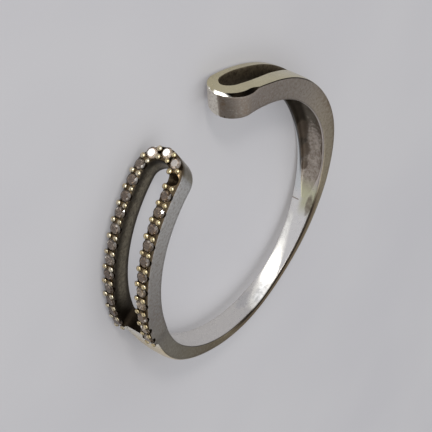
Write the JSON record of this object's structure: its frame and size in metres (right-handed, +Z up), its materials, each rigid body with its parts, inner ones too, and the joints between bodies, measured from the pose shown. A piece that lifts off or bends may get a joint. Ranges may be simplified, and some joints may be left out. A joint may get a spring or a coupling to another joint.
{
  "type": "open cuff ring",
  "caption": "Open silver finger ring whose ends are two slotted loops with a gap between them, one edged with small round stones and one plain.",
  "frame": {"origin": "middle of the ring's outline, on the surface it lies on", "axes": "+Z up, close to the axis of the finger hole; -Y towards the gap; the jewelled loop is on the +X side of the gap and the plain loop on the -X side"},
  "size_m": [0.02, 0.0194, 0.0036],
  "materials": {
    "silver": "worn and lightly tarnished silver",
    "stone": "clear cut stone with a grey-brown cast"
  },
  "bodies": {
    "root": {"band": "silver", "stone_01": "stone", "stone_02": "stone", "stone_03": "stone", "stone_04": "stone", "stone_05": "stone", "stone_06": "stone", "stone_07": "stone", "stone_08": "stone", "stone_09": "stone", "stone_10": "stone", "stone_11": "stone", "stone_12": "stone", "stone_13": "stone", "stone_14": "stone", "stone_15": "stone", "stone_16": "stone", "stone_17": "stone", "stone_18": "stone", "stone_19": "stone", "stone_20": "stone", "stone_21": "stone", "stone_22": "stone", "stone_23": "stone", "stone_24": "stone", "stone_25": "stone", "stone_26": "stone"}
  },
  "joints": []
}
